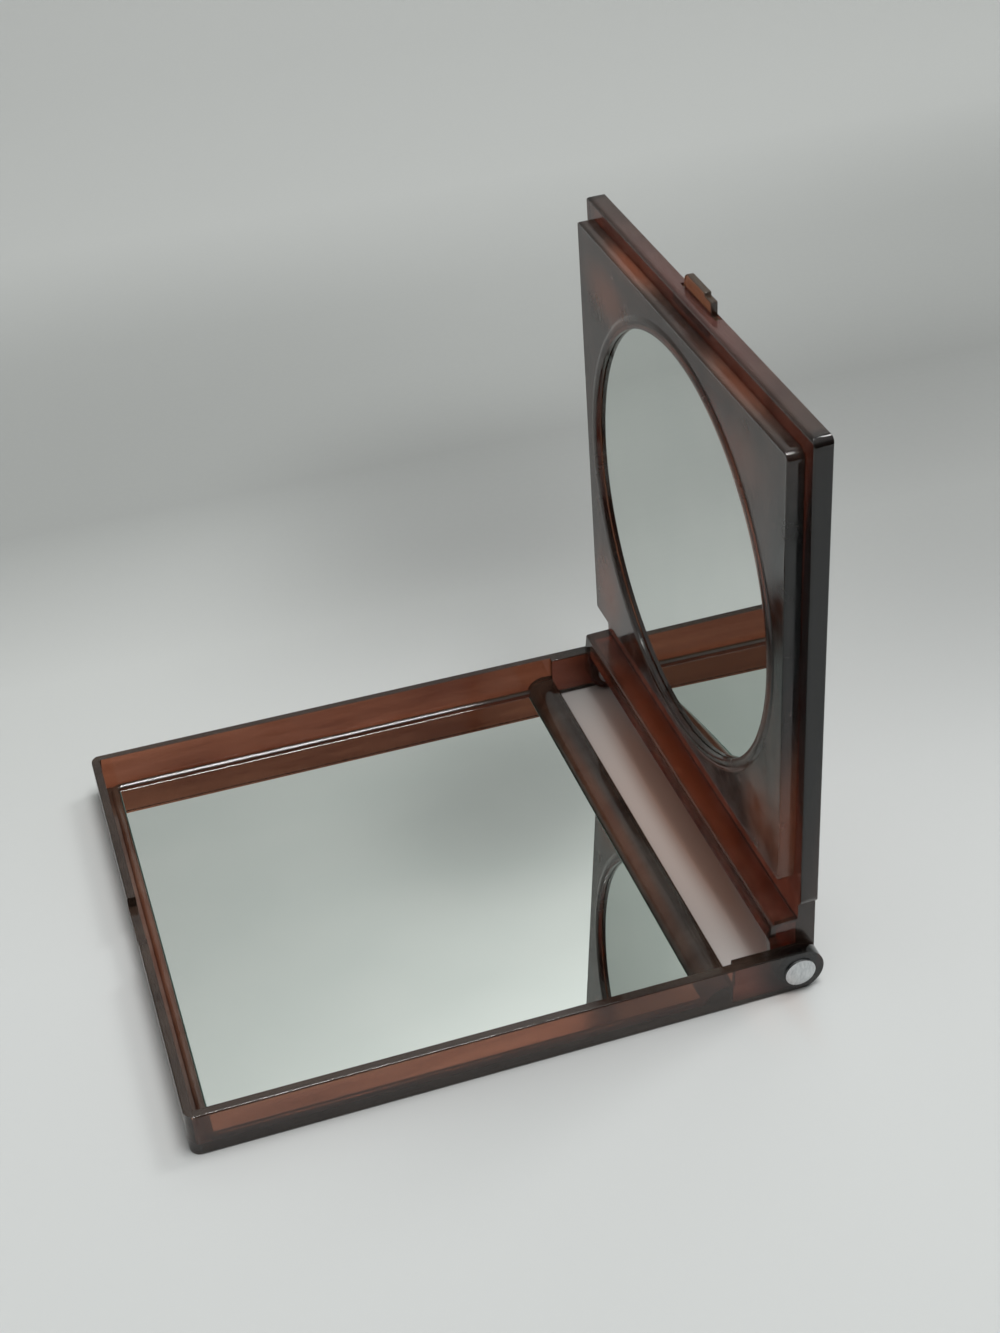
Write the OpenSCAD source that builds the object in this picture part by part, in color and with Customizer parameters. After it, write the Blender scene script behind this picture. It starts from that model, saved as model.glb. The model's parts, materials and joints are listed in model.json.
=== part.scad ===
// Folding travel mirror in tinted plastic: a shallow base with a flat mirror and a lid with a round one.
// The lid nests inside the base's walls and swings on two rivets through the base's ears.
// Case frame: X runs from the closing edge to the hinge, Y across the case, Z up from the table.
// Lid frame: X runs from the hinge axis to the closing edge, Z is the depth under the lid's outer face.

/* [Case] */
// Length from the closing edge to the hinge axis
hinge_x = 122; // [110:0.5:150]
// Width over the base's two sides
case_w = 110; // [90:0.5:140]
// Height of the base's walls and ears
wall_h = 10.3; // [9.6:0.1:12]
// Thickness of the base's walls
wall_t = 1.8; // [1.5:0.1:2.4]
// Radius of the base's corners, seen from above
corner_r = 2.5; // [1.8:0.1:4]
// Rounding of the moulded outer edges
edge_r = 0.4; // [0.2:0.05:0.5]
// Thickness of the base's floor
floor_t = 0.8; // [0.6:0.05:1]

/* [Base mirror] */
// Thickness of the flat glass
glass_t = 1; // [0.8:0.05:1.2]
// Thickness of the adhesive film under the flat glass
film_t = 0.15; // [0.1:0.01:0.2]
// Width of the round bead that frames the glass
bead_w = 1.8; // [1.4:0.1:2.2]
// Flat ledge between the closing wall and its bead
ledge_w = 1.1; // [0.6:0.1:1.8]
// Radius of the bead's corners, at the middle of the bead
bead_corner_r = 1.6; // [1.3:0.1:3]

/* [Crossbar and ears] */
// Width of the crossbar between the glass and the open slot
bar_w = 6.1; // [5.6:0.1:7.5]
// Height of the crossbar
bar_h = 5.25; // [4.4:0.05:5.6]
// Radius of the crossbar's round shoulder beside the glass
bar_r = 4; // [3.4:0.1:4.2]
// Length of the ears' thick part, from the slot's edge to the hinge axis
ear_l = 13.5; // [12.8:0.1:16]
// Thickness of each ear
ear_t = 3.05; // [2.6:0.05:3.6]

/* [Lid] */
// Angle between the lid and the base as it stands open
open_deg = 87.7; // [60:0.1:120]
// How far the closed lid's face lies under the wall tops
lid_sunk = 0.55; // [0.3:0.05:0.8]
// Gap between the closed lid's edges and the walls
lid_gap = 0.45; // [0.3:0.05:0.8]
// Gap between the closed lid's front edge and the closing wall
front_gap = 0.7; // [0.4:0.05:1.2]
// Thickness of the lid's plate
plate_t = 3.65; // [3.2:0.05:3.9]
// Radius of the plate's front corners
plate_corner_r = 2; // [1:0.1:3.5]
// Radius of the plate's shoulders beside the ears
shoulder_r = 3; // [2:0.1:4]
// Rounding of the plate's front edge
front_edge_r = 0.9; // [0.5:0.05:1.2]
// Distance from the hinge axis to the plate's shoulders
shoulder_s = 14; // [13.9:0.1:15]
// Wall left under the round mirror's seat
seat_wall = 1.5; // [1.2:0.05:1.6]

/* [End flange] */
// Distance from the hinge axis to the flange's outer side
flange_s = 11; // [10:0.1:11.6]
// Thickness of the flange's web
web_t = 1.6; // [1.2:0.1:2]
// Height of the lip along the flange's free edge
lip_h = 4; // [3:0.1:4.5]
// Gap between the closed lid's lip and the table
lip_gap = 0.3; // [0.2:0.05:0.6]
// Thickness of the two cheeks that carry the rivets
cheek_t = 1.8; // [1.4:0.1:2.4]

/* [Round mirror] */
// Diameter of the opening in the bezel
round_d = 86.5; // [60:0.5:88]
// How much nearer the hinge the opening's middle lies than the bezel's
round_shift = 0.6; // [0:0.1:1.2]
// Height of the bezel over the plate
bezel_h = 3.3; // [2.9:0.05:3.5]
// Border of plate left bare at the bezel's sides
side_border = 3; // [2.4:0.1:6]
// Border of plate left bare at the front
front_border = 3.4; // [2.6:0.1:6]
// Distance from the hinge axis to the bezel's near side
bezel_s = 19.8; // [19.8:0.1:24]
// Radius of the bezel's corners
bezel_corner_r = 2; // [1.5:0.1:5]
// Rounding of the bezel's edges
bezel_edge_r = 0.6; // [0.4:0.05:0.9]
// How far the rim round the opening stands over the bezel
rim_rise = 0.55; // [0.4:0.05:0.7]
// Width of the rim
rim_w = 2.6; // [2.2:0.1:3.2]
// Radius of the rim's rounded section
rim_r = 2.2; // [1.8:0.1:3]
// Depth of the glass under the bezel's face, at the rim
round_sunk = 0.85; // [0.7:0.05:1.2]
// Radius of the magnifying mirror's hollow face
hollow_r = 600; // [500:10:1200]
// Thickness of the round glass
round_t = 1; // [0.8:0.05:1.1]
// How far the glass reaches under the bezel's edge
round_hold = 1; // [0.6:0.1:1.4]
// Diameter of the adhesive pad behind the round glass
pad_d = 26; // [16:1:30]

/* [Catch] */
// Length of the thumb tab across the case
tab_l = 12.4; // [9:0.1:18]
// How far the tab stands out of the lid's front edge
tab_out = 3.3; // [2.9:0.1:3.8]
// Thickness of the tab
tab_t = 1.35; // [1:0.05:1.6]
// Depth of the tab under the lid's outer face
tab_d = 0.3; // [0.2:0.05:0.5]
// Length of the tab's low end
tab_step_l = 2.8; // [1.5:0.1:3.5]
// Drop of the tab's low end
tab_step = 0.65; // [0.3:0.05:0.9]
// Radius of the tab's rounded end
tab_corner_r = 1.8; // [1:0.1:2.4]
// How far the tab's root runs past it on each side
root_over = 2; // [1:0.1:3]
// Depth of the tab's root inside the plate
root_deep = 3; // [2:0.1:3]

/* [Rivets] */
// Diameter of the rivets' shanks
rivet_d = 3; // [2.4:0.1:3.2]
// Diameter of the rivets' heads
head_d = 6.35; // [5.6:0.05:7]
// Thickness of a rivet's head at its middle
head_t = 0.9; // [0.7:0.05:1.2]
// Straight edge of a rivet's head
head_edge = 0.45; // [0.3:0.05:0.6]
// Running clearance of a shank in its cheek, on the radius
run_gap = 0.05; // [0.03:0.01:0.08]
// Clearance of a shank where it is fast, on the radius
fast_gap = 0.02; // [0.01:0.01:0.03]
// Gap between an ear and its cheek
cheek_gap = 0.35; // [0.3:0.05:0.6]
// Diameter of the friction washers
friction_d = 8; // [6.5:0.1:8.6]
// Thickness of a clinch washer
clinch_washer_t = 0.4; // [0.3:0.05:0.6]
// Diameter of the clinch washers
clinch_washer_d = 5.4; // [4.8:0.1:5.8]
// Diameter of a rivet's clinched end
clinch_d = 4.2; // [3.8:0.1:4.6]
// Height of a rivet's clinched end
clinch_t = 0.7; // [0.5:0.05:1]

/* [Hidden] */

$fn = 96;
// Small overlap that makes two shapes of one piece one solid
bite = 0.02;
// Clearance of a part that is laid in a pocket
lay_gap = 0.1;
// Facets of the large round opening and of the hollow glass's wide arcs
round_fn = 180;
hollow_fn = 1440;

// Height of the hinge axis, in the middle of the half-round ears
hinge_z = wall_h / 2;
// Distance from the hinge axis to the lid's outer face
face_off = hinge_z - lid_sunk;
// Length of the whole case
case_l = hinge_x + hinge_z;
// Clear width between the base's walls
inner_w = case_w - 2 * wall_t;
// Height of the flat glass's upper face
glass_z = floor_t + film_t + glass_t;

// Slot side and glass side of the crossbar
slot_x = hinge_x - ear_l;
bar_x = slot_x - bar_w;
// Glass pocket, between the beads
pocket_x = wall_t + ledge_w + bead_w;
pocket_w = inner_w - 2 * bead_w;

// Lid's outline in its own frame
lid_s = hinge_x - wall_t - front_gap;
lid_w = inner_w - 2 * lid_gap;
neck_w = case_w - 2 * (ear_t + cheek_gap);
flange_d = face_off + hinge_z - lip_gap;

// Bezel's outline in the lid's frame
bezel_end = lid_s - front_border;
bezel_w = lid_w - 2 * side_border;
bezel_top = plate_t + bezel_h;
round_s = (bezel_s + bezel_end) / 2 - round_shift;
opening_r = round_d / 2;

// Hollow glass: depth of its rim, its radius and the centre of its sphere
rim_d = bezel_top - round_sunk;
glass_r = opening_r + round_hold;
sphere_d = rim_d + sqrt(hollow_r * hollow_r - opening_r * opening_r);
// Depth of the glass's bulging back, at its middle, and of the seat under it
back_d = sphere_d - hollow_r - round_t;
seat_d = seat_wall;

// Catch: length of the tab's root, and the floor of the notch that the tab drops into
root_l = tab_l + 2 * root_over;
notch_gap = 0.3;
notch_z = hinge_z + face_off - tab_d - tab_t - notch_gap;

// Faces of the hinge, measured outwards from the middle of the case
ear_in = case_w / 2 - ear_t;
cheek_out = neck_w / 2;
cheek_in = cheek_out - cheek_t;
clinch_y = cheek_in - run_gap - clinch_washer_t;
// Room round the clinched end in the lid's foot
relief_gap = 0.4;

// Puts the case frame's parts with the origin under the middle of the open mirror
module in_case() {
    translate([-case_l / 2, 0, 0]) children();
}

// Hangs a part of the lid on the hinge, at the angle at which the mirror stands
module on_lid() {
    in_case() translate([hinge_x, 0, hinge_z]) rotate([0, open_deg - 180, 0])
        translate([0, 0, -face_off]) children();
}

// Extrudes a side profile across the case, centred on the middle
module across(w) {
    rotate([90, 0, 0]) linear_extrude(height = w, center = true) children();
}

// Rectangle from x0 to x1, centred across, with one radius at each end
module rounded_outline(x0, x1, w, r0, r1) {
    translate([x0 + r0, -w / 2]) square([x1 - x0 - r0 - r1, w]);
    translate([x0, r0 - w / 2]) square([r0 + bite, w - 2 * r0]);
    translate([x1 - r1 - bite, r1 - w / 2]) square([r1 + bite, w - 2 * r1]);
    for (side = [-1, 1]) {
        translate([x0 + r0, side * (w / 2 - r0)]) circle(r0);
        translate([x1 - r1, side * (w / 2 - r1)]) circle(r1);
    }
}

// Bar section from 0 to h with rounded upper corners and squarer lower ones
module soft_section(a0, a1, h, r_top, r_foot) {
    translate([a0 + r_top, 0]) square([a1 - a0 - 2 * r_top, h]);
    translate([a0 + r_foot, 0]) square([a1 - a0 - 2 * r_foot, h - r_top]);
    translate([a0, r_foot]) square([a1 - a0, h - r_foot - r_top]);
    for (a = [a0 + r_top, a1 - r_top]) translate([a, h - r_top]) circle(r_top);
    for (a = [a0 + r_foot, a1 - r_foot]) translate([a, r_foot]) circle(r_foot);
}

// Outer form of the base's tray: three profiles that cross, so that every outer edge is soft
module tray_body() {
    intersection() {
        linear_extrude(height = wall_h) rounded_outline(0, case_l, case_w, corner_r, corner_r);
        across(case_w) intersection() {
            soft_section(0, case_l, wall_h, edge_r, edge_r);
            square([slot_x, wall_h]);
        }
        rotate([90, 0, 90]) linear_extrude(height = slot_x)
            soft_section(-case_w / 2, case_w / 2, wall_h, edge_r, edge_r);
    }
}

// Straight stretch of the glass's bead, along X from the corner to the crossbar
module bead_run(y) {
    start = pocket_x - bead_w / 2 + bead_corner_r;
    translate([start, y, glass_z]) rotate([90, 0, 90])
        linear_extrude(height = bar_x + wall_t - start) circle(bead_w / 2, $fn = 32);
}

// Bead along the closing wall with its two quarter turns
module bead_front() {
    bend_y = pocket_w / 2 + bead_w / 2 - bead_corner_r;
    bead_x = pocket_x - bead_w / 2;
    translate([bead_x, 0, glass_z]) rotate([90, 0, 0])
        linear_extrude(height = 2 * bend_y, center = true) circle(bead_w / 2, $fn = 32);
    for (side = [-1, 1])
        translate([bead_x + bead_corner_r, side * bend_y, glass_z])
            rotate([0, 0, side > 0 ? 90 : 180]) rotate_extrude(angle = 90)
                translate([bead_corner_r, 0]) circle(bead_w / 2, $fn = 32);
}

// Crossbar with its round shoulder beside the glass
module crossbar() {
    across(inner_w + 2 * bite) {
        intersection() {
            translate([bar_x + bar_r, bar_h - bar_r]) circle(bar_r);
            translate([bar_x, 0]) square([bar_w, bar_h]);
        }
        translate([bar_x + bar_r, 0]) square([bar_w - bar_r - edge_r, bar_h]);
        translate([bar_x, 0]) square([bar_w, bar_h - bar_r]);
        translate([bar_x + bar_r, 0]) square([bar_w - bar_r, bar_h - edge_r]);
        translate([slot_x - edge_r, bar_h - edge_r]) circle(edge_r);
    }
}

// One ear: the wall goes on past the slot, thicker, to a half round about the hinge axis
module ear(side) {
    difference() {
        translate([0, side * (case_w - ear_t) / 2, 0]) intersection() {
            across(ear_t) {
                translate([slot_x - bite, 0]) square([ear_l + bite, wall_h]);
                translate([hinge_x, hinge_z]) circle(hinge_z);
            }
            rotate([90, 0, 90]) linear_extrude(height = case_l)
                soft_section(-ear_t / 2, ear_t / 2, wall_h, edge_r, edge_r);
        }
        translate([hinge_x, side * case_w / 2, hinge_z]) rotate([90, 0, 0])
            cylinder(h = 3 * ear_t, r = rivet_d / 2 + fast_gap, center = true);
    }
}

module base_frame() {
    color("#5a3026") in_case() {
        difference() {
            union() {
                difference() {
                    tray_body();
                    // Space between the walls, down to the ledge round the glass
                    translate([wall_t, -inner_w / 2, glass_z]) cube([slot_x, inner_w, wall_h]);
                    // Pocket that the flat glass lies in
                    translate([pocket_x, -pocket_w / 2, floor_t])
                        cube([bar_x - pocket_x, pocket_w, wall_h]);
                }
                intersection() {
                    union() {
                        bead_front();
                        for (side = [-1, 1]) bead_run(side * (pocket_w + bead_w) / 2);
                    }
                    translate([wall_t / 2, -case_w / 2 + wall_t / 2, floor_t])
                        cube([slot_x - wall_t, case_w - wall_t, wall_h]);
                }
                crossbar();
            }
            // Notch in the closing wall for the lid's tab
            translate([-wall_t, -(tab_l / 2 + notch_gap), notch_z])
                cube([3 * wall_t, tab_l + 2 * notch_gap, wall_h]);
        }
        for (side = [-1, 1]) ear(side);
    }
}

module base_mirror() {
    color("#b7bdb9") in_case()
        translate([pocket_x + lay_gap, -pocket_w / 2 + lay_gap, floor_t + film_t])
            cube([bar_x - pocket_x - 2 * lay_gap, pocket_w - 2 * lay_gap, glass_t]);
}

module base_mirror_film() {
    inset = 2 * bead_w;
    color("#d8d2c0") in_case()
        translate([pocket_x + inset, -pocket_w / 2 + inset, floor_t])
            cube([bar_x - pocket_x - 2 * inset, pocket_w - 2 * inset, film_t]);
}

// Side profile of the plate and the web, in the lid's frame
module lid_profile() {
    // Plate with its front edge rounded on the inner side
    square([lid_s - front_edge_r, plate_t]);
    translate([0, edge_r]) square([lid_s, plate_t - front_edge_r - edge_r]);
    translate([lid_s - front_edge_r, plate_t - front_edge_r]) circle(front_edge_r);
    translate([lid_s - edge_r, edge_r]) circle(edge_r);
    translate([lid_s - front_edge_r - bite, 0]) square([front_edge_r + bite - edge_r, edge_r + bite]);
    // Foot that wraps round the hinge axis
    intersection() {
        translate([0, face_off]) circle(face_off);
        translate([-face_off, 0]) square([2 * face_off, plate_t]);
    }
    // Flange: a web across the lid and a lip along its free edge
    translate([flange_s - web_t, 0]) square([web_t, flange_d - edge_r]);
    translate([flange_s - web_t, 0]) square([web_t - edge_r, flange_d]);
    translate([flange_s - edge_r, flange_d - edge_r]) circle(edge_r);
    translate([flange_s - lip_h, flange_d - web_t]) square([lip_h - edge_r, web_t]);
}

// Side profile of a cheek: a knuckle about the hinge axis that runs up to the flange
module cheek_profile() {
    translate([0, face_off]) circle(face_off);
    polygon([[0, 0], [flange_s - edge_r, 0], [flange_s - edge_r, flange_d], [0, 2 * face_off]]);
}

// Cylinder about the hinge axis, in the lid's frame, between two distances from the middle
module hinge_bore(side, y0, y1, r) {
    translate([0, side * (y0 + y1) / 2, face_off]) rotate([90, 0, 0])
        cylinder(h = y1 - y0, r = r, center = true);
}

module lid_shell() {
    color("#5a3026") on_lid() difference() {
        union() {
            intersection() {
                across(lid_w) lid_profile();
                linear_extrude(height = flange_d) {
                    rounded_outline(shoulder_s, lid_s, lid_w, shoulder_r, plate_corner_r);
                    translate([-face_off, -neck_w / 2]) square([face_off + lid_s / 2, neck_w]);
                }
                // Soft long edges
                rotate([90, 0, 90]) translate([0, 0, -face_off]) linear_extrude(height = lid_s + face_off) {
                    soft_section(-lid_w / 2, lid_w / 2, plate_t, edge_r, edge_r);
                    translate([-neck_w / 2, 0]) square([neck_w, flange_d]);
                }
            }
            for (side = [-1, 1])
                translate([0, side * (cheek_out - cheek_t / 2), 0]) across(cheek_t) cheek_profile();
        }
        for (side = [-1, 1]) {
            // Bore that turns on the rivet
            hinge_bore(side, cheek_in - bite, cheek_out + bite, rivet_d / 2 + run_gap);
            // Room in the foot for the washer and the clinched end
            hinge_bore(side, clinch_y - clinch_t - relief_gap, cheek_in, clinch_washer_d / 2 + relief_gap);
        }
        // Round seat that leaves room for the glass's bulging back and its pad
        translate([round_s, 0, seat_d]) cylinder(h = plate_t, r = glass_r + lay_gap, $fn = round_fn);
        // Pocket for the tab's root
        translate([lid_s - root_deep, -root_l / 2, tab_d])
            cube([root_deep + tab_out, root_l, tab_t]);
    }
}

// Section of the rim: a round crown that leans down to the bezel's face
module rim_section() {
    crown_x = opening_r + rim_w - sqrt(rim_r * rim_r - pow(rim_r - rim_rise, 2));
    intersection() {
        translate([crown_x, bezel_top + rim_rise - rim_r]) circle(rim_r);
        translate([opening_r, bezel_top - bezel_edge_r]) square([2 * rim_w, 2 * rim_r]);
    }
}

module round_mirror_bezel() {
    color("#4c2a22") on_lid() difference() {
        union() {
            intersection() {
                translate([0, 0, plate_t]) linear_extrude(height = bezel_h)
                    rounded_outline(bezel_s, bezel_end, bezel_w, bezel_corner_r, bezel_corner_r);
                across(bezel_w) translate([0, plate_t - 2 * bezel_edge_r])
                    soft_section(bezel_s, bezel_end, bezel_h + 2 * bezel_edge_r, bezel_edge_r, bezel_edge_r);
                rotate([90, 0, 90]) linear_extrude(height = lid_s)
                    translate([0, plate_t - 2 * bezel_edge_r])
                        soft_section(-bezel_w / 2, bezel_w / 2, bezel_h + 2 * bezel_edge_r,
                            bezel_edge_r, bezel_edge_r);
            }
            translate([round_s, 0, 0]) rotate_extrude($fn = round_fn) rim_section();
        }
        translate([round_s, 0, 0]) cylinder(h = 2 * bezel_top, r = opening_r, $fn = round_fn);
        // Rebate that holds the glass's edge
        translate([round_s, 0, 0]) cylinder(h = rim_d + lay_gap, r = glass_r + lay_gap, $fn = round_fn);
    }
}

module round_mirror() {
    color("#b7bdb9") on_lid() translate([round_s, 0, 0]) rotate_extrude($fn = round_fn) intersection() {
        square([glass_r, bezel_top]);
        translate([0, sphere_d]) difference() {
            circle(hollow_r + round_t, $fn = hollow_fn);
            circle(hollow_r, $fn = hollow_fn);
        }
    }
}

module round_mirror_pad() {
    color("#d8d2c0") on_lid()
        translate([round_s, 0, seat_d]) cylinder(h = back_d - seat_d, r = pad_d / 2);
}

// Outline of the tab over the lid's front edge: one end is rounded and the other is stepped down
module tab_outline() {
    foot = lid_s - edge_r - bite;
    tip = lid_s + tab_out;
    low_end = -tab_l / 2;
    high_end = tab_l / 2;
    translate([foot, low_end]) square([tip - tab_step - foot, tab_step_l + bite]);
    translate([foot, low_end + tab_step_l])
        square([tip - foot, tab_l - tab_step_l - tab_corner_r]);
    translate([foot, low_end + tab_step_l])
        square([tip - tab_corner_r - foot, tab_l - tab_step_l]);
    translate([tip - tab_corner_r, high_end - tab_corner_r]) circle(tab_corner_r);
}

module catch_tab() {
    color("#8a4a2c") on_lid() translate([0, 0, tab_d]) {
        translate([lid_s - root_deep, -root_l / 2, 0]) cube([root_deep - edge_r, root_l, tab_t]);
        linear_extrude(height = tab_t) tab_outline();
    }
}

// Rivet along Y from its head outside the ear to its clinched end inside the cheek
module rivet(side) {
    end_y = clinch_y - clinch_t;
    dome_r = (pow(head_d / 2, 2) + pow(head_t - head_edge, 2)) / (2 * (head_t - head_edge));
    color("#c4c8ca") in_case() translate([hinge_x, 0, hinge_z]) rotate([side > 0 ? -90 : 90, 0, 0])
        rotate_extrude() {
            translate([0, end_y]) square([rivet_d / 2, case_w / 2 - end_y + bite]);
            translate([0, end_y]) square([clinch_d / 2, clinch_t]);
            intersection() {
                translate([0, case_w / 2]) square([head_d / 2, head_t]);
                translate([0, case_w / 2 + head_t - dome_r]) circle(dome_r, $fn = round_fn);
            }
        }
}

module hinge_rivet_near() { rivet(-1); }
module hinge_rivet_far() { rivet(1); }

// Ring about the hinge axis between two distances from the middle of the case
module washer(side, y0, y1, d) {
    in_case() translate([hinge_x, 0, hinge_z]) rotate([side > 0 ? -90 : 90, 0, 0])
        translate([0, 0, y0]) difference() {
            cylinder(h = y1 - y0, r = d / 2);
            translate([0, 0, -bite]) cylinder(h = y1 - y0 + 2 * bite, r = rivet_d / 2 + fast_gap);
        }
}

module friction_washer_near() { color("#e8e4d8") washer(-1, cheek_out + run_gap, ear_in, friction_d); }
module friction_washer_far() { color("#e8e4d8") washer(1, cheek_out + run_gap, ear_in, friction_d); }
module clinch_washer_near() {
    color("#c4c8ca") washer(-1, clinch_y, clinch_y + clinch_washer_t, clinch_washer_d);
}
module clinch_washer_far() {
    color("#c4c8ca") washer(1, clinch_y, clinch_y + clinch_washer_t, clinch_washer_d);
}

base_frame();
base_mirror();
base_mirror_film();
lid_shell();
round_mirror_bezel();
round_mirror();
round_mirror_pad();
catch_tab();
hinge_rivet_near();
hinge_rivet_far();
friction_washer_near();
friction_washer_far();
clinch_washer_near();
clinch_washer_far();
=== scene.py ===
import json
import math

import bmesh
import bpy
from bpy.props import FloatProperty, FloatVectorProperty, PointerProperty
from bpy.types import Operator, Panel, PropertyGroup
from mathutils import Matrix, Vector


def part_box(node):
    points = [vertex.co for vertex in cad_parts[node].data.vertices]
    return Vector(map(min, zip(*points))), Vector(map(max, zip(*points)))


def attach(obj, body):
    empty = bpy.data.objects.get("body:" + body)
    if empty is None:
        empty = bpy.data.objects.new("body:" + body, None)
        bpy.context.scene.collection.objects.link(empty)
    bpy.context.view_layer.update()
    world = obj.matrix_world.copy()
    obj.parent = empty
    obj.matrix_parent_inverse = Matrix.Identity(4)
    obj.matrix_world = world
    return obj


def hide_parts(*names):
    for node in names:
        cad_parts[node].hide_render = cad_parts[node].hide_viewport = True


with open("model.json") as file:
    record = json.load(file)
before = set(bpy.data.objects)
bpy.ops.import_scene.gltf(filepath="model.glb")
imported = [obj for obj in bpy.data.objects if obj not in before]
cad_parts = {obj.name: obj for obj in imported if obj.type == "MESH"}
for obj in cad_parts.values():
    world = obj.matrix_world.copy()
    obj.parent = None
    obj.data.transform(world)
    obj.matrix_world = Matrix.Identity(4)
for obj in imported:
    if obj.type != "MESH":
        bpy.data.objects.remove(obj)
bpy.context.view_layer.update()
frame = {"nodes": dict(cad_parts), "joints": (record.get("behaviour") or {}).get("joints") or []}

bl_info = {
    "name": "Tinted travel mirror",
    "version": (1, 0, 0),
    "blender": (4, 5, 0),
    "location": "3D View > Sidebar > Travel mirror",
    "description": "Dresses a folding travel mirror in tinted polystyrene, silvered glass and aluminium",
    "category": "Object",
}

MM = 0.001

JOINT = frame["joints"][0]
# Carries the lid's own frame, X along the lid from the hinge axis and Z out of its inner face, to
# where the lid stands open: its travel past this place ends where it lies flat behind the case
LID_FRAME = Matrix.Translation(JOINT["pos_m"]) @ Matrix.Rotation(
    -math.radians(JOINT["range_deg"][1]), 4, "Y")


# Materials

def linear(hex_colour):
    """Linear RGBA of an sRGB hex colour."""
    values = [int(hex_colour[i:i + 2], 16) / 255 for i in (1, 3, 5)]
    return [v / 12.92 if v <= 0.04045 else ((v + 0.055) / 1.055) ** 2.4 for v in values] + [1.0]


def per_mm(size_mm):
    """Scale at which a pattern on Object coordinates repeats about once in so many millimetres."""
    return 1 / (size_mm * MM)


def set_inputs(tree, node, inputs):
    """Gives a node's inputs, by name or by place, their values or the outputs that feed them."""
    for name, value in inputs.items():
        if isinstance(value, bpy.types.NodeSocket):
            tree.links.new(value, node.inputs[name])
        else:
            node.inputs[name].default_value = value


def add_node(tree, kind, settings=None, inputs=None):
    """Adds a node with its settings and its inputs."""
    node = tree.nodes.new(kind)
    for name, value in (settings or {}).items():
        setattr(node, name, value)
    set_inputs(tree, node, inputs or {})
    return node


def set_stops(ramp, stops):
    """Gives a Color Ramp these stops, each a position and an sRGB hex colour."""
    elements = ramp.color_ramp.elements
    while len(elements) < len(stops):
        elements.new(0.5)
    for element, (position, colour) in zip(elements, stops):
        element.position = position
        element.color = linear(colour)


def new_material(name):
    """A material with its node tree, its shader and its Object coordinates."""
    material = bpy.data.materials.new(name)
    material.use_nodes = True
    tree = material.node_tree
    place = tree.nodes.new("ShaderNodeTexCoord").outputs["Object"]
    return material, tree, tree.nodes["Principled BSDF"], place


def stretched_noise(tree, place, sizes_mm, detail, roughness=0.5, turn=(0.0, 0.0, 0.0),
                    shift=(0.0, 0.0, 0.0)):
    """Noise whose spots have these sizes along X, Y and Z, in millimetres."""
    mapping = add_node(tree, "ShaderNodeMapping", {}, {
        "Vector": place, "Location": shift, "Rotation": turn,
        "Scale": [per_mm(size) for size in sizes_mm]})
    noise = add_node(tree, "ShaderNodeTexNoise", {}, {
        "Vector": mapping.outputs["Vector"], "Scale": 1.0, "Detail": detail,
        "Roughness": roughness})
    return noise.outputs["Fac"]


def drive(tree, shader, pattern, stops=None, roughness=None, relief=None):
    """Lets one pattern drive a surface.

    Its colour follows stops, its roughness goes from the third value to the fourth as the pattern
    goes from the first to the second, and its relief has a depth in millimetres and a strength.
    """
    if stops:
        ramp = add_node(tree, "ShaderNodeValToRGB", {}, {"Fac": pattern})
        set_stops(ramp, stops)
        set_inputs(tree, shader, {"Base Color": ramp.outputs["Color"]})
    if roughness:
        low, high, at_low, at_high = roughness
        stretch = add_node(tree, "ShaderNodeMapRange", {}, {
            "Value": pattern, "From Min": low, "From Max": high,
            "To Min": at_low, "To Max": at_high})
        set_inputs(tree, shader, {"Roughness": stretch.outputs["Result"]})
    if relief:
        depth_mm, strength = relief
        bump = add_node(tree, "ShaderNodeBump", {}, {
            "Height": pattern, "Distance": depth_mm * MM, "Strength": strength})
        set_inputs(tree, shader, {"Normal": bump.outputs["Normal"]})


def patch_share(tree, place, centre, half_widths, share):
    """Share of a soft patch: this much in its middle, and none at its half width each way."""
    mapping = add_node(tree, "ShaderNodeMapping", {"vector_type": "TEXTURE"}, {
        "Vector": place, "Location": centre, "Scale": half_widths})
    ball = add_node(tree, "ShaderNodeTexGradient", {"gradient_type": "SPHERICAL"}, {
        "Vector": mapping.outputs["Vector"]})
    soft = add_node(tree, "ShaderNodeMapRange", {"interpolation_type": "SMOOTHERSTEP"}, {
        "Value": ball.outputs["Fac"]})
    return add_node(tree, "ShaderNodeMath", {"operation": "MULTIPLY"}, {
        0: soft.outputs["Result"], 1: share}).outputs["Value"]


# Colour that the dye leaves of white light, and how dense it is over a moulding's own dye depth
DYE_COLOUR = [0.60, 0.28, 0.13, 1.0]
DYE_DENSITY = 2.0
POLYSTYRENE_IOR = 1.55
# Share of the light that goes into the plastic where no place says otherwise
CLEAR = 0.95
# Streaks of the dye, across the flow and along it, and where the dark and the light tone lie
STREAK_MM = 7.0
STREAK_LENGTH_MM = 45.0
STREAK_DARK = 0.34
STREAK_LIGHT = 0.66
# Handling has dulled the polish in soft patches, with a little of hair scratches in them
POLISH_ROUGHNESS = 0.04
DULL_MM = (9.0, 9.0, 9.0)
DULL_STRETCH = (0.35, 0.75)
HAIR_MM = (0.25, 6.0, 0.25)
HAIR_TURN = (0.3, 0.2, 0.9)
HAIR_SHARE = 0.12
# Slow waves that the mould leaves on a flat face, and their depth and strength
WAVE_MM = (14.0, 14.0, 14.0)
WAVE_RELIEF = (0.12, 0.25)

# Painted light of a moulding, as a tint and how clear it is: a painted orange-red glow, a painted
# pale pink glow, and a near-black painted shade
PAINTED_GLOW = ("#e6845c", 0.72)
PAINTED_PINK_GLOW = ("#e2988e", 0.86)
PAINTED_SHADE = ("#120e0c", 0.99)
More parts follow.
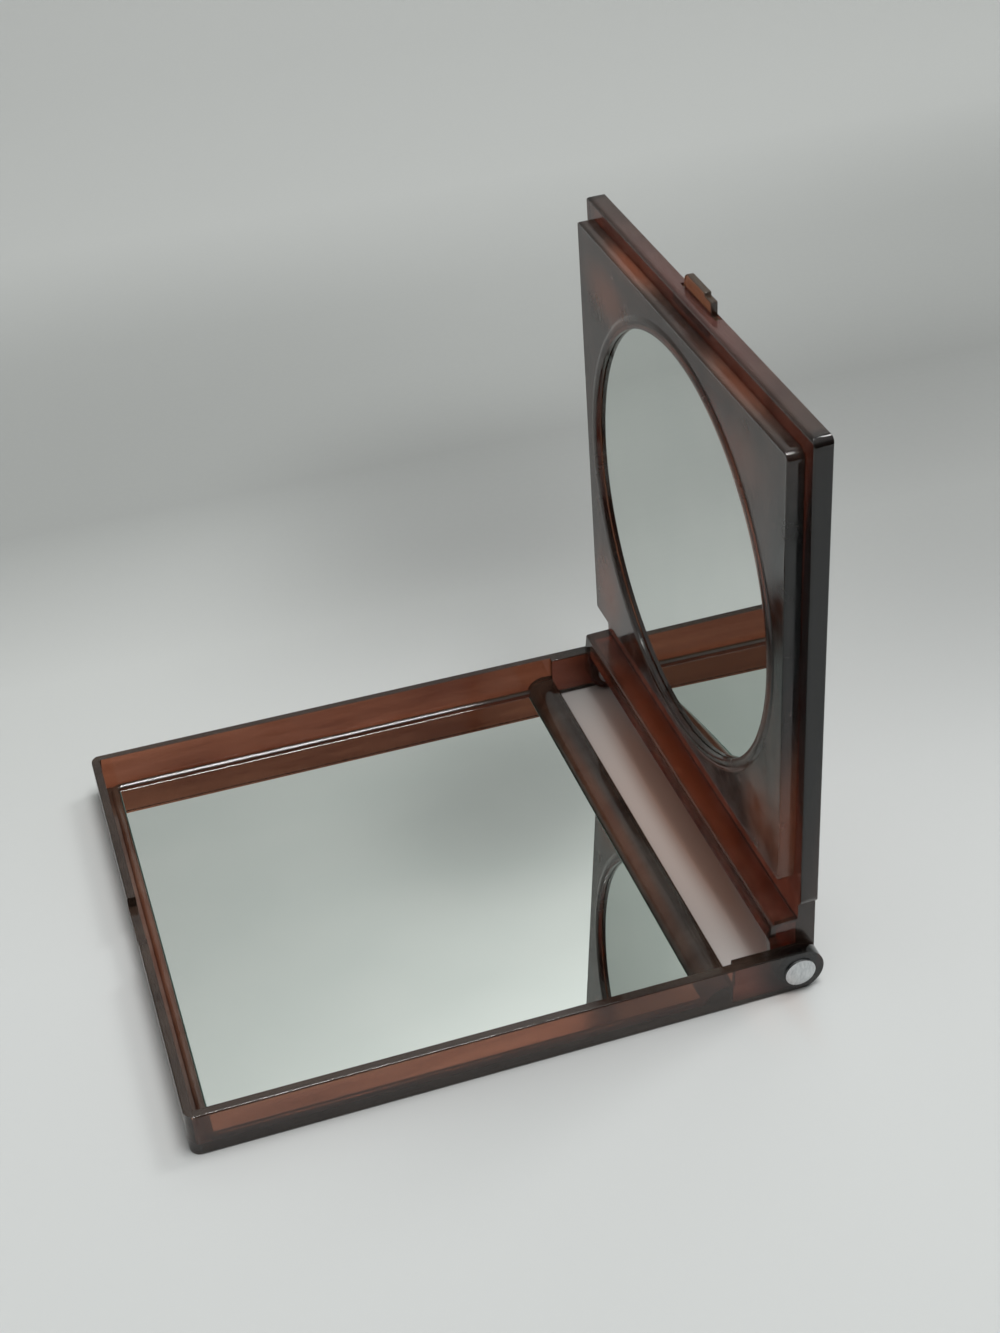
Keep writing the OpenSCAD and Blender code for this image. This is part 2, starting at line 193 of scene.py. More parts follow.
# Places of each moulding where glow and shade are painted: middle, half width on each axis, share
# and looks. The mix holds a share above 1 at 1, so such a place has a full middle and a narrower edge.
CASE_PAINTED_LIGHT = [
    # Painted orange glow along the closing wall's ledge and along the crossbar, and painted shade at the
    # hinge ears
    ((-0.0602, 0.0, 0.0022), (0.003, 0.080, 0.003), 0.6, PAINTED_GLOW),
    ((0.0402, 0.0, 0.0040), (0.003, 0.070, 0.004), 0.6, PAINTED_GLOW),
    ((0.0590, -0.0540, 0.0055), (0.017, 0.004, 0.012), 1.3, PAINTED_SHADE),
    ((0.0590, 0.0540, 0.0055), (0.017, 0.004, 0.012), 1.3, PAINTED_SHADE),
]
LID_PAINTED_LIGHT = [
    # Painted orange glow on the flange, a painted pale pink glow on the top end, and painted shade down
    # both sides
    ((0.0562, 0.0, 0.0158), (0.006, 0.085, 0.005), 1.0, PAINTED_GLOW),
    ((0.0563, 0.0, 0.1247), (0.006, 0.065, 0.004), 0.8, PAINTED_PINK_GLOW),
    ((0.0565, -0.0520, 0.0780), (0.010, 0.005, 0.085), 1.6, PAINTED_SHADE),
    ((0.0565, 0.0520, 0.0780), (0.010, 0.005, 0.085), 1.6, PAINTED_SHADE),
]
BEZEL_PAINTED_LIGHT = [
    # Painted orange glow near the corners, on the top end and low on the near side, and painted shade
    # along the near side
    ((0.0516, -0.031, 0.1110), (0.003, 0.017, 0.0105), 0.45, PAINTED_GLOW),
    ((0.0516, 0.034, 0.1110), (0.003, 0.020, 0.0105), 0.9, PAINTED_GLOW),
    ((0.0545, -0.041, 0.0350), (0.006, 0.014, 0.018), 0.9, PAINTED_GLOW),
    ((0.0545, 0.041, 0.0350), (0.006, 0.014, 0.018), 0.9, PAINTED_GLOW),
    ((0.0538, -0.025, 0.1212), (0.005, 0.022, 0.005), 0.6, PAINTED_GLOW),
    ((0.0538, 0.025, 0.1212), (0.005, 0.020, 0.005), 0.8, PAINTED_GLOW),
    ((0.0572, -0.0497, 0.0380), (0.008, 0.006, 0.034), 1.0, PAINTED_GLOW),
    ((0.0535, -0.0490, 0.0880), (0.008, 0.010, 0.040), 1.5, PAINTED_SHADE),
]


def tinted_polystyrene(name, along, shift, dark, light, depth_mm, dulling=0.12, shine=0.5,
                       painted_light_places=()):
    """Polystyrene dyed amber brown, moulded and polished: clear enough to glow where it is thin.

    The eye gets near-black faces with a room's reflections in them, orange-red light where the wall
    behind is bright, painted orange-red glow and painted shade at listed places, and streaks where the
    dye ran with the flow.
    """
    material, tree, shader, place = new_material(name)
    sizes = [STREAK_MM] * 3
    sizes[along] = STREAK_LENGTH_MM
    flow = stretched_noise(tree, place, sizes, 3.0, 0.55, shift=shift)
    tint = add_node(tree, "ShaderNodeValToRGB", {}, {"Fac": flow})
    set_stops(tint, [(STREAK_DARK, dark), (STREAK_LIGHT, light)])
    colour, clear = tint.outputs["Color"], CLEAR
    # Painted glow and painted shade: each place mixes its painted tint and clearness into the plastic's
    # own
    for centre, half_widths, share, (painted_colour, painted_clear) in painted_light_places:
        part = patch_share(tree, place, centre, half_widths, share)
        colour = add_node(tree, "ShaderNodeMix", {"data_type": "RGBA"}, {
            "Factor": part, "A": colour, "B": linear(painted_colour)}).outputs["Result"]
        clear = add_node(tree, "ShaderNodeMix", {"data_type": "FLOAT"}, {
            "Factor": part, "A": clear, "B": painted_clear}).outputs["Result"]
    dull = stretched_noise(tree, place, DULL_MM, 2.0)
    hair = stretched_noise(tree, place, HAIR_MM, 2.0, turn=HAIR_TURN)
    worn = add_node(tree, "ShaderNodeMix", {"data_type": "FLOAT"}, {
        "Factor": HAIR_SHARE, "A": dull, "B": hair}).outputs["Result"]
    drive(tree, shader, worn,
          roughness=(*DULL_STRETCH, POLISH_ROUGHNESS, POLISH_ROUGHNESS + dulling))
    drive(tree, shader, stretched_noise(tree, place, WAVE_MM, 1.0), relief=WAVE_RELIEF)
    set_inputs(tree, shader, {
        "Base Color": colour, "Transmission Weight": clear, "Specular IOR Level": shine,
        "IOR": POLYSTYRENE_IOR})
    dye = add_node(tree, "ShaderNodeVolumeAbsorption", {}, {
        "Color": DYE_COLOUR, "Density": DYE_DENSITY / (depth_mm * MM)})
    set_inputs(tree, tree.nodes["Material Output"], {"Volume": dye.outputs["Volume"]})
    return material


def silvered_glass(name):
    """Mirror silvering seen through float glass: a cool, slightly green image with faint smears."""
    material, tree, shader, place = new_material(name)
    smear = stretched_noise(tree, place, (26.0, 18.0, 22.0), 1.0, turn=(0.0, 0.0, 0.5))
    drive(tree, shader, smear, [(0.3, "#e3e9e5"), (0.7, "#e7ece8")], (0.45, 0.8, 0.0, 0.012))
    set_inputs(tree, shader, {"Metallic": 1.0})
    return material


def ground_glass(name):
    """Edge of float glass, seamed on a stone: grey green and finely matt."""
    material, tree, shader, place = new_material(name)
    grit = stretched_noise(tree, place, (0.35, 0.35, 0.35), 2.0)
    drive(tree, shader, grit, [(0.3, "#4e625a"), (0.7, "#7f958b")], (0.3, 0.7, 0.3, 0.6),
          (0.03, 0.5))
    return material


def backing_paint(name):
    """Grey lacquer that seals a mirror's silvering: matt, with a curtain coater's pull marks."""
    material, tree, shader, place = new_material(name)
    pull = stretched_noise(tree, place, (40.0, 1.2, 1.2), 3.0)
    drive(tree, shader, pull, [(0.3, "#54575a"), (0.7, "#666a6c")], (0.3, 0.7, 0.5, 0.7),
          (0.01, 0.5))
    return material


def stamped_aluminium(name):
    """Rivet aluminium, pressed cold in a die: bright grey, a little matt, with drawn streaks."""
    material, tree, shader, place = new_material(name)
    grain = stretched_noise(tree, place, (0.5, 0.5, 1.6), 3.0, 0.6, turn=(0.0, 0.35, 0.0))
    drive(tree, shader, grain, [(0.3, "#b9bcbe"), (0.7, "#dddfe0")], (0.3, 0.7, 0.28, 0.42),
          (0.02, 0.5))
    set_inputs(tree, shader, {"Metallic": 1.0})
    return material


def natural_nylon(name):
    """Washer nylon, blanked from sheet: waxy, slightly grained and greyed by the joint's wear."""
    material, tree, shader, place = new_material(name)
    grain = stretched_noise(tree, place, (0.8, 0.8, 0.8), 3.0)
    drive(tree, shader, grain, [(0.3, "#8f8a7e"), (0.7, "#a8a295")], (0.3, 0.7, 0.35, 0.5),
          (0.01, 0.5))
    set_inputs(tree, shader, {"Subsurface Weight": 0.2, "Subsurface Scale": 0.4 * MM})
    return material


def mounting_foam(name):
    """Double-sided mounting tape: cream acrylic adhesive with the dimples of its liner."""
    material, tree, shader, place = new_material(name)
    dimple = add_node(tree, "ShaderNodeTexVoronoi", {}, {
        "Vector": place, "Scale": per_mm(0.9)}).outputs["Distance"]
    drive(tree, shader, dimple, [(0.1, "#c9c1a8"), (0.7, "#ded8c4")], (0.0, 0.7, 0.5, 0.75),
          (0.03, 0.5))
    return material


def tones_along(tree, value, stretch, stops):
    """Colour on a ramp that this stretch of a value runs through, held at its ends."""
    part = add_node(tree, "ShaderNodeMapRange", {}, {
        "Value": value, "From Min": stretch[0], "From Max": stretch[1]})
    ramp = add_node(tree, "ShaderNodeValToRGB", {}, {"Fac": part.outputs["Result"]})
    set_stops(ramp, stops)
    return ramp.outputs["Color"]


# Stretch of the floor along Y over which painted shade darkens the paper behind the mirror, and its
# painted tones there
FLOOR_PAINTED_SHADE_M = (0.0, 0.5)
FLOOR_PAINTED_SHADE_STOPS = [(0.0, "#cacccb"), (0.2, "#bec0be"), (0.34, "#9c9e9c"), (0.54, "#a6a8a6"),
               (0.7, "#b4b6b4")]
# Stretch up the wall, leaning towards +X, over which painted light makes it grow bright, and its painted
# tones there
WALL_SLANT = 0.25
WALL_PAINTED_LIGHT_M = (0.5, 1.0)
WALL_PAINTED_LIGHT_STOPS = [(0.0, "#c0c2c0"), (0.4, "#c2c4c2"), (0.8, "#d0d2d0"), (1.0, "#dee0de")]
# Heights between which the floor's tones give way to the wall's
TURN_LOW_M = 0.02
TURN_HIGH_M = 0.3
# Patches of painted light and shade on the sheet: middle, half width on each axis, and share and
# colour of the tone there. All but the last two are soft patches of painted shade, and those are
# painted warm light in the slot and the painted brown shadow that the lid's end throws on it.
PAPER_PAINTED_LIGHT_AND_SHADE = [
    ((0.04, 0.10, 0.0), (0.11, 0.07, 0.1), 0.19, "#000000"),
    ((-0.02, 0.25, 0.0), (0.18, 0.11, 0.1), 0.08, "#000000"),
    ((0.26, 0.75, 0.66), (0.2, 0.3, 0.16), 0.34, "#000000"),
    ((0.34, 0.24, 0.0), (0.24, 0.18, 0.1), 0.12, "#000000"),
    ((0.19, 0.09, 0.0), (0.19, 0.17, 0.1), 0.34, "#000000"),
    ((0.05, 0.14, 0.0), (0.09, 0.09, 0.1), 0.22, "#000000"),
    ((0.0495, 0.0, 0.0), (0.012, 0.080, 0.01), 0.95, "#f8e4da"),
    ((0.0560, 0.0, 0.0), (0.0075, 0.080, 0.01), 1.3, "#c8a494"),
]


def studio_paper(name):
    """Background paper in one sheet: pale, with a faint tooth.

    The eye gets a floor with painted shade that darkens it behind the mirror, a wall with painted light
    that grows bright again high up, and soft patches of painted shade, painted warm light and a painted
    shadow.
    """
    material, tree, shader, place = new_material(name)
    parts = add_node(tree, "ShaderNodeSeparateXYZ", {}, {"Vector": place}).outputs
    # Painted shade along the floor and painted light up the wall
    floor = tones_along(tree, parts["Y"], FLOOR_PAINTED_SHADE_M, FLOOR_PAINTED_SHADE_STOPS)
    slant = add_node(tree, "ShaderNodeMath", {"operation": "MULTIPLY_ADD"}, {
        0: parts["X"], 1: WALL_SLANT, 2: parts["Z"]})
    wall = tones_along(tree, slant.outputs["Value"], WALL_PAINTED_LIGHT_M, WALL_PAINTED_LIGHT_STOPS)
    risen = add_node(tree, "ShaderNodeMapRange", {}, {
        "Value": parts["Z"], "From Min": TURN_LOW_M, "From Max": TURN_HIGH_M})
    colour = add_node(tree, "ShaderNodeMix", {"data_type": "RGBA"}, {
        "Factor": risen.outputs["Result"], "A": floor, "B": wall}).outputs["Result"]
    # Patches of painted shade, painted warm light and a painted shadow
    for centre, half_widths, share, painted_colour in PAPER_PAINTED_LIGHT_AND_SHADE:
        colour = add_node(tree, "ShaderNodeMix", {"data_type": "RGBA"}, {
            "Factor": patch_share(tree, place, centre, half_widths, share),
            "A": colour, "B": linear(painted_colour)}).outputs["Result"]
    tooth = stretched_noise(tree, place, (1.5, 1.5, 1.5), 2.0)
    drive(tree, shader, tooth, roughness=(0.3, 0.7, 0.8, 0.95), relief=(0.02, 0.3))
    set_inputs(tree, shader, {"Base Color": colour, "Specular IOR Level": 0.2})
    return material


# Shapes

# Distance over which loose corners join, and turn below which two faces are one
WELD_MM = 0.002
FLAT_DEG = 0.3
# Edges that turn by more than this are corners of the moulding, and the rest are facets of a curve
CORNER_DEG = 35.0
CORNER_SEGMENTS = 2


def welded_copy(node_name):
    """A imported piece's mesh with its loose triangles joined and its flat faces made whole."""
    shape = bmesh.new()
    shape.from_mesh(frame["nodes"][node_name].data)
    bmesh.ops.remove_doubles(shape, verts=shape.verts, dist=WELD_MM * MM)
    bmesh.ops.dissolve_limit(
        shape, angle_limit=math.radians(FLAT_DEG), verts=shape.verts, edges=shape.edges)
    return shape


def cut_edges(shape, edges, width_mm, segments):
    """Cuts these edges back by this width, in this many segments."""
    bmesh.ops.bevel(
        shape, geom=edges, offset=width_mm * MM, offset_type="OFFSET", affect="EDGES",
        segments=segments, profile=0.5, clamp_overlap=True, material=-1)


# Radius of the glass's bead, its gap to the glass, the depth of the flat on its crown and how that
# tilts to the glass
BEAD_R_MM = 0.9
LAY_GAP_MM = 0.1
BEAD_FLAT_MM = 0.09
BEAD_FLAT_TILT = math.radians(29)
# The bead's flat ends before the crossbar, and a corner this far outside the bead still counts
BEAD_END_X = 0.0385
BEAD_SLACK_MM = 0.02


def flatten_beads(shape):
    """Gives the long beads beside the glass the flat that their polished mould leaves on them."""
    (_, near_y, _), (_, far_y, top_z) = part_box("base_mirror")
    for side, glass_y in ((-1, near_y), (1, far_y)):
        middle = Vector((0.0, glass_y + side * (BEAD_R_MM + LAY_GAP_MM) * MM, top_z))
        normal = Vector((0.0, -side * math.sin(BEAD_FLAT_TILT), math.cos(BEAD_FLAT_TILT)))
        for vert in shape.verts:
            reach = vert.co - middle
            reach.x = 0.0
            proud = reach.dot(normal) - (BEAD_R_MM - BEAD_FLAT_MM) * MM
            on_bead = reach.length < (BEAD_R_MM + BEAD_SLACK_MM) * MM and vert.co.x < BEAD_END_X
            if proud > 0 and on_bead:
                vert.co -= normal * proud


# What lies before this place and above this height is the end of the lid's flange
FLANGE_END_X = 0.0536
FLANGE_FOOT_Z = 0.0115
FLANGE_MIDDLE_Z = 0.01375
# How far the draft brings its foot towards the flat mirror, and its head away from that
FLANGE_DRAFT_MM = 0.28


def draft_flange(shape):
    """Leans the end of the lid's flange back by its mould's draft."""
    for vert in shape.verts:
        if vert.co.x < FLANGE_END_X and vert.co.z > FLANGE_FOOT_Z:
            height = vert.co.z - FLANGE_MIDDLE_Z
            vert.co.x += FLANGE_DRAFT_MM * MM * height / (FLANGE_MIDDLE_Z - FLANGE_FOOT_Z)


# Above 50, the larger faces count for more in the normals of the corners that they share
FACE_WEIGHT = 80


def finish_piece(name, shape, materials, body, slot, *nodes):
    """Makes the piece's object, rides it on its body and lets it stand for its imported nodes."""
    mesh = bpy.data.meshes.new(name)
    shape.to_mesh(mesh)
    shape.free()
    for material in materials:
        mesh.materials.append(material)
    mesh.shade_smooth()
    piece = bpy.data.objects.new(name, mesh)
    bpy.context.scene.collection.objects.link(piece)
    weighted = piece.modifiers.new("Even faces", "WEIGHTED_NORMAL")
    weighted.keep_sharp = True
    weighted.weight = FACE_WEIGHT
    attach(piece, body)
    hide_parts(*nodes)


def finish_moulding(name, material, body, slot, node, reshape=None):
    """Finishes a packed moulding, with every corner rounded as the polished mould leaves it."""
    shape = welded_copy(node)
    if reshape:
        reshape(shape)
    corners = [edge for edge in shape.edges
               if edge.is_manifold and edge.calc_face_angle() > math.radians(CORNER_DEG)]
    cut_edges(shape, corners, bpy.context.scene.travel_mirror_case.corner, CORNER_SEGMENTS)
    finish_piece(name, shape, [material], body, slot, node)


def lathe(profile, segments):
    """Turns a profile of (radius, height) points about Z into a closed shape."""
    shape = bmesh.new()
    verts = [shape.verts.new((radius, 0.0, height)) for radius, height in profile]
    edges = [shape.edges.new(pair) for pair in zip(verts, verts[1:])]
    bmesh.ops.spin(
        shape, geom=verts + edges, cent=(0, 0, 0), axis=(0, 0, 1), angle=math.tau,
        steps=segments, use_merge=True, use_duplicate=False)
    bmesh.ops.remove_doubles(shape, verts=shape.verts, dist=WELD_MM * MM)
    bmesh.ops.recalc_face_normals(shape, faces=shape.faces)
    return shape


# How squarely a face of the flat and of the hollow glass looks out: the rest is its edge
FLAT_SQUARE = 0.99
HOLLOW_SQUARE = 0.9
# Places of the silvered face, the ground edge and the lacquered back in a glass's materials
FRONT, EDGE, BACK = range(3)


def mark_glass(shape, square):
    """Splits a glass into its silvered face, its ground edge and its lacquered back."""
    for face in shape.faces:
        face.material_index = (FRONT if face.normal.z > square else
                               BACK if face.normal.z < -square else EDGE)


# Depth under the top of the flat glass within which an edge counts as an upper one
TOP_SLACK_MM = 0.01


def flat_glass(corner, far_corner, seam_mm):
    """Slab of glass with its upper edges seamed."""
    shape = bmesh.new()
    bmesh.ops.create_cube(shape, size=1.0)
    bmesh.ops.scale(shape, vec=far_corner - corner, verts=shape.verts)
    bmesh.ops.translate(shape, vec=(corner + far_corner) / 2, verts=shape.verts)
    top_z = far_corner.z - TOP_SLACK_MM * MM
    top = [edge for edge in shape.edges if all(vert.co.z > top_z for vert in edge.verts)]
    cut_edges(shape, top, seam_mm, 1)
    mark_glass(shape, FLAT_SQUARE)
    return shape


# Rings and steps of the hollow glass, fine enough for a smooth image
BOWL_RINGS = 32
BOWL_STEPS = 192
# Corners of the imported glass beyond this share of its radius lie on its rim
RIM_SHARE = 0.99


def hollow_glass(packed, seam_mm):
    """Shallow bowl of glass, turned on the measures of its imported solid, in the lid's own frame."""
    carry = LID_FRAME.inverted() @ packed.matrix_world
    points = [carry @ vert.co for vert in packed.data.vertices]
    middle = Vector((sum(f(p.x for p in points) for f in (min, max)) / 2,
                     sum(f(p.y for p in points) for f in (min, max)) / 2, 0.0))
    radius = max(p.x for p in points) - middle.x
    rim = [p.z for p in points if (p - middle).xy.length > RIM_SHARE * radius]
    back = min(p.z for p in points)
    front = max(rim) - (min(rim) - back)
    bow = max(rim) - front
    seam = seam_mm * MM
    inner = radius - seam
    steps = [i / BOWL_RINGS for i in range(BOWL_RINGS + 1)]
    profile = [(radius * t, back + bow * t * t) for t in steps]
    profile += [(radius, max(rim) - seam)]
    profile += [(inner * t, front + bow * (t * inner / radius) ** 2) for t in reversed(steps)]
    shape = lathe(profile, BOWL_STEPS)
    mark_glass(shape, HOLLOW_SQUARE)
    bmesh.ops.transform(shape, matrix=LID_FRAME @ Matrix.Translation(middle), verts=shape.verts)
    return shape


class TravelMirrorCase(PropertyGroup):
    """Finish of the mouldings and of the glasses."""
    corner: FloatProperty(
        name="Corner radius", description="Radius on the moulding's corners, in millimetres",
        default=0.14, min=0.05, max=0.2)
    glass_seam: FloatProperty(
        name="Seamed edge", description="Width of the ground edge round each glass, in millimetres",
        default=0.18, min=0.05, max=0.3)


class TRAVELMIRROR_OT_case(Operator):
    """Finishes the case's moulding"""
    bl_idname = "travelmirror.case"
    bl_label = "Case"

    def execute(self, context):
        plastic = tinted_polystyrene(
            "amber polystyrene of the case", 0, (0.0, 0.0, 0.0), "#a87c68", "#f0c6ac", 2.0,
            painted_light_places=CASE_PAINTED_LIGHT)
        finish_moulding(
            "case_moulding", plastic, "base", "case_plastic", "base_frame", flatten_beads)
        return {"FINISHED"}


class TRAVELMIRROR_OT_lid(Operator):
    """Finishes the lid's moulding and its bezel"""
    bl_idname = "travelmirror.lid"
    bl_label = "Lid and bezel"

    def execute(self, context):
        plastic = tinted_polystyrene(
            "amber polystyrene of the lid", 2, (3.1, 0.0, 1.7), "#a87c6c", "#ecbca8", 2.4,
            dulling=0.2, shine=0.38, painted_light_places=LID_PAINTED_LIGHT)
        finish_moulding(
            "lid_moulding", plastic, "lid", "lid_plastic", "lid_shell", draft_flange)
        plastic = tinted_polystyrene(
            "amber polystyrene of the bezel", 2, (0.4, 2.2, 5.2), "#a87c6c", "#dcae98", 2.6,
            dulling=0.3, shine=0.25, painted_light_places=BEZEL_PAINTED_LIGHT)
        finish_moulding("bezel_moulding", plastic, "lid", "bezel_plastic", "round_mirror_bezel")
        return {"FINISHED"}


class TRAVELMIRROR_OT_catch(Operator):
    """Finishes the thumb tab"""
    bl_idname = "travelmirror.catch"
    bl_label = "Thumb tab"

    def execute(self, context):
        plastic = tinted_polystyrene(
            "amber polystyrene of the tab", 1, (1.0, 4.0, 0.0), "#c8906c", "#f0bf92", 2.0)
        finish_moulding("thumb_tab", plastic, "lid", "tab_plastic", "catch_tab")
        return {"FINISHED"}


class TRAVELMIRROR_OT_glasses(Operator):
    """Cuts the flat and the hollow glass, with their silver, seamed edges and backing"""
    bl_idname = "travelmirror.glasses"
    bl_label = "Glasses"

    def execute(self, context):
        seam = context.scene.travel_mirror_case.glass_seam
        faces = [silvered_glass("silvered float glass"), ground_glass("seamed glass edge"),
                 backing_paint("mirror backing lacquer")]
        corner, far_corner = (Vector(point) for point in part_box("base_mirror"))
        finish_piece("flat_mirror", flat_glass(corner, far_corner, seam), faces,
                     "base", "mirror_glass", "base_mirror")
        finish_piece("magnifying_mirror", hollow_glass(frame["nodes"]["round_mirror"], seam),
                     faces, "lid", "mirror_glass", "round_mirror")
        return {"FINISHED"}


class TRAVELMIRROR_OT_hinge(Operator):
    """Finishes the rivets, the washers and the adhesive"""
    bl_idname = "travelmirror.hinge"
    bl_label = "Hinge hardware"

    def execute(self, context):
        finishes = {
            ("hinge_rivet_near", "hinge_rivet_far", "clinch_washer_near", "clinch_washer_far"):
                stamped_aluminium("stamped aluminium"),
            ("friction_washer_near", "friction_washer_far"): natural_nylon("natural nylon"),
            ("base_mirror_film", "round_mirror_pad"): mounting_foam("mounting tape"),
        }
        for nodes, material in finishes.items():
            for node in nodes:
                packed = frame["nodes"][node]
                packed.data.materials.clear()
                packed.data.materials.append(material)
        return {"FINISHED"}


# Studio

SENSOR_MM = 36.0
# The paper lies between its front edge and its turn, turns up on this radius and rises from there
PAPER_HALF_WIDTH = 1.8
PAPER_FRONT_Y = -1.6
PAPER_TURN_Y = 0.5
PAPER_TURN_R = 0.25
PAPER_TURN_STEPS = 24
PAPER_RISE = 1.3
# How far the sky's bright part leans towards +Y, away from the camera, the stretch over which it
# brightens, and its tones from below to above
SKY_LEAN = 0.35
SKY_STRETCH = (-0.1, 1.0)
SKY_STOPS = [(0.0, "#3a3c3c"), (0.35, "#6c6e6d"), (0.8, "#f6f8f7")]
# Place of each lamp, its aim, and its width and length
KEY_LAMP = ((0.15, -0.12, 1.35), (0.0, 0.0, 0.0), (0.44, 0.5))
WASH_LAMP = ((0.8, 0.2, 1.3), (0.3, 0.75, 0.9), (0.4, 0.4))


class TravelMirrorStudio(PropertyGroup):
    """Camera and light."""
    camera_place: FloatVectorProperty(
        name="Camera place", description="Place of the camera", subtype="XYZ", unit="LENGTH",
        default=(-0.07442, -0.29832, 0.28614))
    camera_turn: FloatProperty(
        name="Turn", description="Turn of the view from +Y towards +X", subtype="ANGLE",
        default=math.radians(16.91))
    camera_down: FloatProperty(
        name="Look down", description="Angle of the view below the horizon", subtype="ANGLE",
        default=math.radians(36.81))
    camera_roll: FloatProperty(
        name="Roll", description="Roll of the camera about its view", subtype="ANGLE",
        default=math.radians(2.43))
    lens: FloatProperty(
        name="Lens", description="Focal length on a 36 mm sensor along the image's long side",
        default=53.0, min=20, max=120)
    key_power: FloatProperty(
        name="Key power", description="Power of the large soft lamp", unit="POWER", default=10.0)
    wash_power: FloatProperty(
        name="Wash power", description="Power of the lamp on the paper's wall", unit="POWER",
        default=6.0)
    sky: FloatProperty(
        name="Sky", description="Strength of the even light from above", default=0.72)


def only(kind, parts):
    """Those parts of a shape that are of one kind."""
    return [part for part in parts if isinstance(part, kind)]


def paper_sheet():
    """One sheet that lies on the table, turns up behind it and rises into a wall."""
    shape = bmesh.new()
    start = shape.verts.new((-PAPER_HALF_WIDTH, PAPER_FRONT_Y, 0.0))
    end = shape.verts.new((PAPER_HALF_WIDTH, PAPER_FRONT_Y, 0.0))
    front = shape.edges.new((start, end))
    laid = bmesh.ops.extrude_edge_only(shape, edges=[front])["geom"]
    far = only(bmesh.types.BMVert, laid)
    bmesh.ops.translate(shape, verts=far, vec=(0.0, PAPER_TURN_Y - PAPER_FRONT_Y, 0.0))
    edge = [part for part in only(bmesh.types.BMEdge, laid)
            if all(vert in far for vert in part.verts)]
    turned = bmesh.ops.spin(
        shape, geom=far + edge, cent=(0.0, PAPER_TURN_Y, PAPER_TURN_R), axis=(1.0, 0.0, 0.0),
        angle=math.radians(90), steps=PAPER_TURN_STEPS, use_merge=False,
        use_duplicate=False)["geom_last"]
    risen = bmesh.ops.extrude_edge_only(shape, edges=only(bmesh.types.BMEdge, turned))["geom"]
    bmesh.ops.translate(shape, verts=only(bmesh.types.BMVert, risen), vec=(0, 0, PAPER_RISE))
    bmesh.ops.recalc_face_normals(shape, faces=shape.faces)
    return shape


def even_sky(strength):
    """A world that is bright above and behind the mirror, and dark below and behind the camera."""
    world = bpy.data.worlds.new("even sky")
    world.use_nodes = True
    tree = world.node_tree
    ways = add_node(tree, "ShaderNodeSeparateXYZ", {}, {
        "Vector": add_node(tree, "ShaderNodeTexCoord").outputs["Generated"]}).outputs
    lean = add_node(tree, "ShaderNodeMath", {"operation": "MULTIPLY_ADD"}, {
        0: ways["Y"], 1: SKY_LEAN, 2: ways["Z"]})
    set_inputs(tree, tree.nodes["Background"], {
        "Color": tones_along(tree, lean.outputs["Value"], SKY_STRETCH, SKY_STOPS),
        "Strength": strength})
    return world


def hang_lamp(name, place, aim, size, power):
    """Hangs a soft lamp, with this width and length, at a place and turned towards its aim."""
    data = bpy.data.lights.new(name, "AREA")
    data.shape = "RECTANGLE"
    data.size, data.size_y = size
    data.energy = power
    lamp = bpy.data.objects.new(name, data)
    lamp.matrix_world = Matrix.Translation(place) @ (
        Vector(aim) - Vector(place)).to_track_quat("-Z", "Y").to_matrix().to_4x4()
    bpy.context.scene.collection.objects.link(lamp)


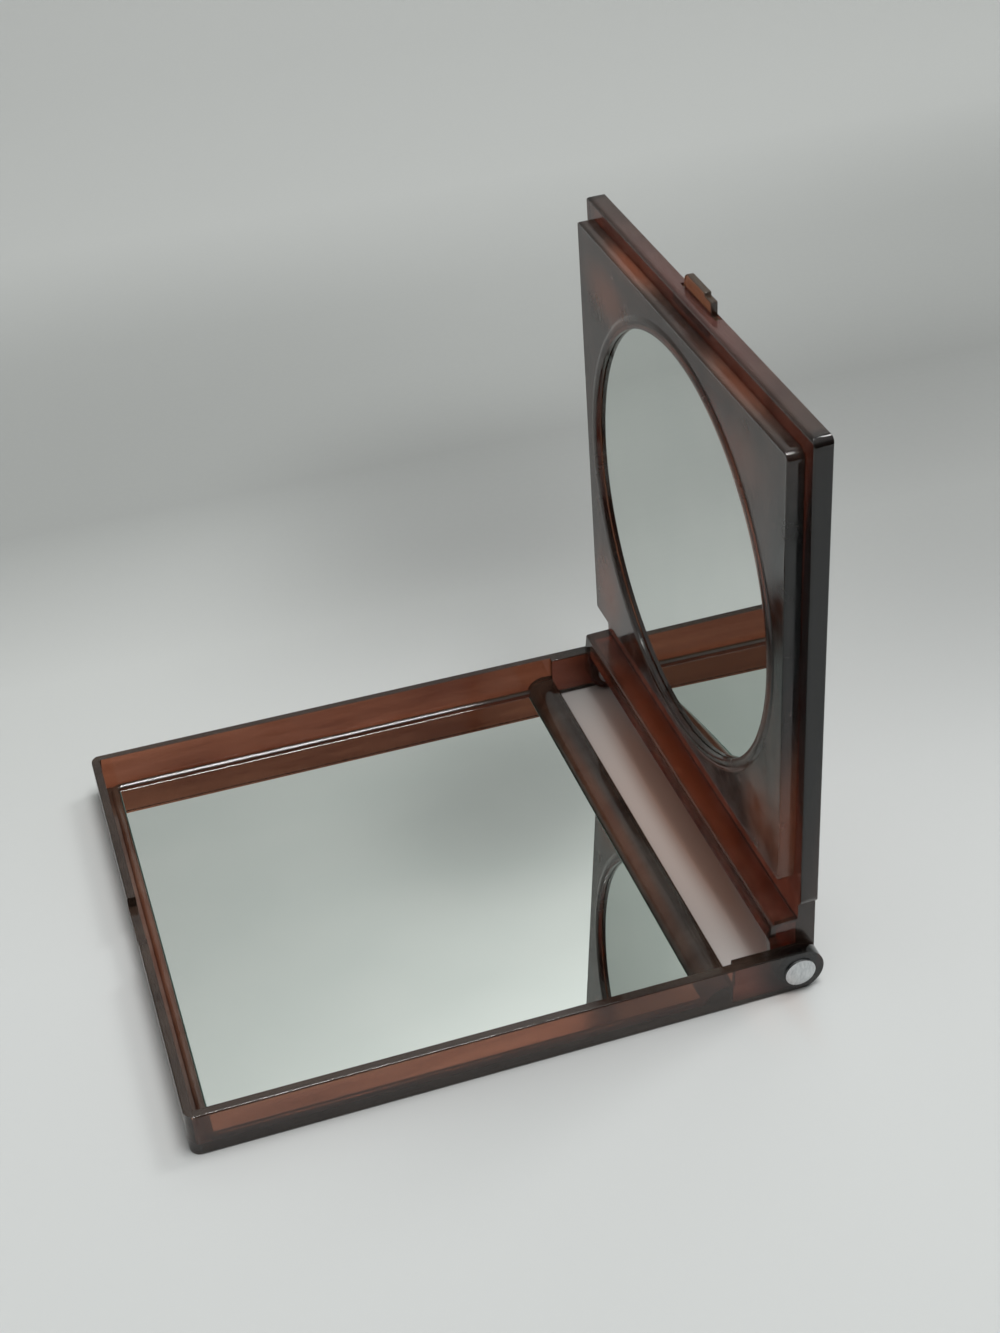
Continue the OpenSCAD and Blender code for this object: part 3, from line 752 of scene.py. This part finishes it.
class TRAVELMIRROR_OT_studio(Operator):
    """Lays the paper, hangs the lamps and sets the camera"""
    bl_idname = "travelmirror.studio"
    bl_label = "Studio"

    def execute(self, context):
        studio = context.scene.travel_mirror_studio
        shape = paper_sheet()
        mesh = bpy.data.meshes.new("studio_paper")
        shape.to_mesh(mesh)
        shape.free()
        mesh.shade_smooth()
        mesh.materials.append(studio_paper("background paper"))
        paper = bpy.data.objects.new("studio_paper", mesh)
        context.scene.collection.objects.link(paper)

        context.scene.world = even_sky(studio.sky)
        hang_lamp("key_softbox", *KEY_LAMP, studio.key_power)
        hang_lamp("wall_wash", *WASH_LAMP, studio.wash_power)

        data = bpy.data.cameras.new("camera")
        data.sensor_width = SENSOR_MM
        data.lens = studio.lens
        camera = bpy.data.objects.new("camera", data)
        camera.matrix_world = (
            Matrix.Translation(studio.camera_place)
            @ Matrix.Rotation(-studio.camera_turn, 4, "Z")
            @ Matrix.Rotation(math.radians(90) - studio.camera_down, 4, "X")
            @ Matrix.Rotation(-studio.camera_roll, 4, "Z"))
        context.scene.collection.objects.link(camera)
        context.scene.camera = camera
        context.scene.view_settings.view_transform = "Standard"
        return {"FINISHED"}


OPERATORS = (TRAVELMIRROR_OT_studio, TRAVELMIRROR_OT_case, TRAVELMIRROR_OT_lid,
             TRAVELMIRROR_OT_catch, TRAVELMIRROR_OT_glasses, TRAVELMIRROR_OT_hinge)


class TRAVELMIRROR_PT_panel(Panel):
    """Lists the mirror's pieces and their settings"""
    bl_label = "Travel mirror"
    bl_idname = "TRAVELMIRROR_PT_panel"
    bl_space_type = "VIEW_3D"
    bl_region_type = "UI"
    bl_category = "Travel mirror"

    def draw(self, context):
        for operator in OPERATORS:
            self.layout.operator(operator.bl_idname)
        for group in (context.scene.travel_mirror_case, context.scene.travel_mirror_studio):
            for name in group.__annotations__:
                self.layout.prop(group, name)


CLASSES = (TravelMirrorCase, TravelMirrorStudio, *OPERATORS, TRAVELMIRROR_PT_panel)


def register():
    for each in CLASSES:
        bpy.utils.register_class(each)
    bpy.types.Scene.travel_mirror_case = PointerProperty(type=TravelMirrorCase)
    bpy.types.Scene.travel_mirror_studio = PointerProperty(type=TravelMirrorStudio)


def unregister():
    del bpy.types.Scene.travel_mirror_studio
    del bpy.types.Scene.travel_mirror_case
    for each in reversed(CLASSES):
        bpy.utils.unregister_class(each)


def main():
    register()
    bpy.ops.travelmirror.studio()
    bpy.ops.travelmirror.case()
    bpy.ops.travelmirror.lid()
    bpy.ops.travelmirror.catch()
    bpy.ops.travelmirror.glasses()
    bpy.ops.travelmirror.hinge()


if __name__ == "__main__":
    main()
